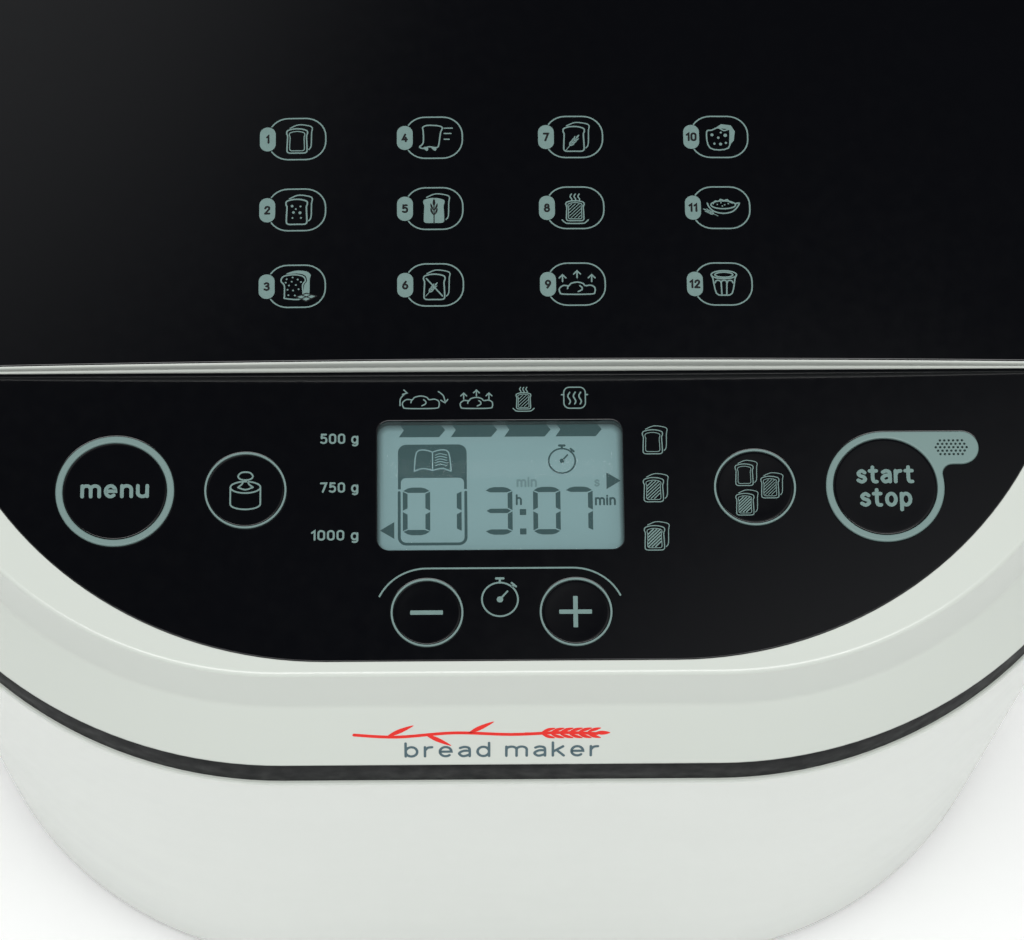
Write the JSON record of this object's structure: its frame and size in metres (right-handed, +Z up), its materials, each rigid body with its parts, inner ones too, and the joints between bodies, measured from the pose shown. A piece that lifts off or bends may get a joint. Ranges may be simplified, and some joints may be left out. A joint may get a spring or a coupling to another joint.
{
  "type": "bread machine",
  "caption": "Tabletop bread machine: tapered white body, flush black control panel with display and push buttons, hinged black lid, baking chamber, pan and belt drive.",
  "frame": {"origin": "on the table under the middle of the body's bounding box", "axes": "+Z up, front with the control panel towards -Y, +X to the right seen from the front"},
  "size_m": [0.282, 0.31, 0.2941],
  "materials": {
    "white_shell": "glossy moulded plastic",
    "black_panel": "high gloss black plastic",
    "seam_black": "satin black plastic",
    "grey_trim": "satin grey plastic",
    "display_clear": "clear",
    "display_face": "display glass",
    "window_smoke": "smoked",
    "clear_glass": "clear tempered glass",
    "foot_rubber": "matt rubber",
    "seal_silicone": "silicone rubber",
    "grey_plastic": "moulded plastic",
    "white_plastic": "moulded plastic",
    "circuit_green": "circuit board",
    "chamber_metal": "bright sheet",
    "sheet_steel": "zinc plated sheet",
    "bright_steel": "ground steel",
    "element_steel": "heat darkened steel",
    "pan_coating": "dark non-stick coating",
    "cast_aluminium": "cast",
    "bush_bronze": "sintered bronze",
    "belt_rubber": "ribbed rubber",
    "motor_paint": "satin paint"
  },
  "bodies": {
    "housing": {"lower_body": "white_shell", "base_plate": "grey_plastic", "base_screws": "bright_steel", "feet": "foot_rubber", "seam_band": "seam_black", "upper_housing": "white_shell", "cord_gland": "foot_rubber", "control_panel": "black_panel", "menu_ring": "grey_trim", "start_ring": "grey_trim", "thin_rings": "grey_trim", "display_lens": "display_clear", "display_module": "display_face", "control_board": "circuit_green", "tact_switches": "grey_plastic", "buzzer": "grey_plastic", "hinge_brackets": "grey_plastic", "hinge_pins": "bright_steel", "chamber_liner": "chamber_metal", "heating_element": "element_steel", "element_holders": "sheet_steel", "temperature_sensor": "bright_steel", "thermal_fuse": "white_plastic", "pan_seat": "cast_aluminium", "chassis_plate": "sheet_steel", "chassis_screws": "bright_steel", "bearing_housing": "cast_aluminium", "drive_belt": "belt_rubber", "motor_body": "motor_paint", "motor_capacitor": "white_plastic", "power_board": "circuit_green", "transformer": "motor_paint"},
    "lid": {"lid_frame": "white_shell", "lid_plate": "black_panel", "lid_window": "window_smoke", "lid_liner": "chamber_metal", "lid_glass": "clear_glass", "lid_seal": "seal_silicone", "lid_screws": "bright_steel"},
    "pan": {"bread_pan": "pan_coating", "pan_base": "cast_aluminium", "pan_bush": "bush_bronze"},
    "bail": {"pan_handle": "bright_steel", "handle_grip": "grey_plastic"},
    "paddle_drive": {"pan_shaft": "bright_steel", "pan_coupling": "cast_aluminium", "kneading_paddle": "pan_coating"},
    "drive": {"drive_shaft": "bright_steel", "drive_coupling": "cast_aluminium", "large_pulley": "grey_plastic"},
    "rotor": {"motor_shaft": "bright_steel", "motor_pulley": "cast_aluminium", "cooling_fan": "white_plastic"},
    "menu_button": {"menu_button": "black_panel"},
    "start_button": {"start_button": "black_panel"},
    "weight_button": {"weight_button": "black_panel"},
    "colour_button": {"colour_button": "black_panel"},
    "minus_button": {"minus_button": "black_panel"},
    "plus_button": {"plus_button": "black_panel"}
  },
  "joints": [
    {"name": "lid_hinge", "type": "hinge", "parent": "housing", "child": "lid", "pos_m": [0, 0.1385, 0.2912], "axis": [-1, 0, 0], "range_deg": [0, 95]},
    {"name": "pan_lift", "type": "slide", "parent": "housing", "child": "pan", "axis": [0, 0, 1], "range_m": [0, 0.03]},
    {"name": "bail_swing", "type": "hinge", "parent": "pan", "child": "bail", "pos_m": [0, 0.047, 0.236], "axis": [-1, 0, 0], "range_deg": [0, 28]},
    {"name": "drive_spin", "type": "hinge", "parent": "housing", "child": "drive", "pos_m": [0, 0.047, 0.06], "axis": [0, 0, 1], "continuous": true},
    {"name": "paddle_spin", "type": "hinge", "parent": "pan", "child": "paddle_drive", "pos_m": [0, 0.047, 0.11], "axis": [0, 0, 1], "continuous": true},
    {"name": "motor_spin", "type": "hinge", "parent": "housing", "child": "rotor", "pos_m": [0.03, -0.083, 0.06], "axis": [0, 0, 1], "continuous": true},
    {"name": "menu_press", "type": "slide", "parent": "housing", "child": "menu_button", "axis": [0, 0, -1], "range_m": [0, 0.0008], "stiffness_N_per_m": 1500, "springref_m": -0.0004},
    {"name": "start_press", "type": "slide", "parent": "housing", "child": "start_button", "axis": [0, 0, -1], "range_m": [0, 0.0008], "stiffness_N_per_m": 1500, "springref_m": -0.0004},
    {"name": "weight_press", "type": "slide", "parent": "housing", "child": "weight_button", "axis": [0, 0, -1], "range_m": [0, 0.0008], "stiffness_N_per_m": 1500, "springref_m": -0.0004},
    {"name": "colour_press", "type": "slide", "parent": "housing", "child": "colour_button", "axis": [0, 0, -1], "range_m": [0, 0.0008], "stiffness_N_per_m": 1500, "springref_m": -0.0004},
    {"name": "minus_press", "type": "slide", "parent": "housing", "child": "minus_button", "axis": [0, 0, -1], "range_m": [0, 0.0008], "stiffness_N_per_m": 1500, "springref_m": -0.0004},
    {"name": "plus_press", "type": "slide", "parent": "housing", "child": "plus_button", "axis": [0, 0, -1], "range_m": [0, 0.0008], "stiffness_N_per_m": 1500, "springref_m": -0.0004}
  ],
  "couplings": [
    {"joint": "paddle_spin", "follows": "drive_spin", "ratio": 1},
    {"joint": "motor_spin", "follows": "drive_spin", "ratio": 5.6}
  ]
}
